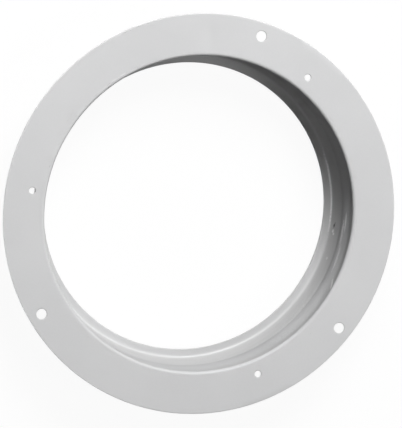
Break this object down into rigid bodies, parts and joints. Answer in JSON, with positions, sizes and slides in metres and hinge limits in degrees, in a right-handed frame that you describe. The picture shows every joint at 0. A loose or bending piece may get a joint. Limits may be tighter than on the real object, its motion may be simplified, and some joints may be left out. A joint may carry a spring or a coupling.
{
  "type": "ceiling duct ring",
  "caption": "Pressed steel ceiling duct ring: a flat drilled flange, a straight collar that a round duct slides over, a shoulder that leans inward, and a narrow lip at the collar's end.",
  "frame": {"origin": "middle of the lip's underside, on the ring's axis, where the ring rests on a flat surface", "axes": "+Z along the axis from the lip to the flange's face; +X through the large hole that stands alone; +Y through a small hole"},
  "size_m": [0.25, 0.25, 0.04],
  "materials": {
    "ring_paint": "satin light grey powder coat"
  },
  "bodies": {
    "root": {"duct_ring": "ring_paint"}
  },
  "joints": []
}
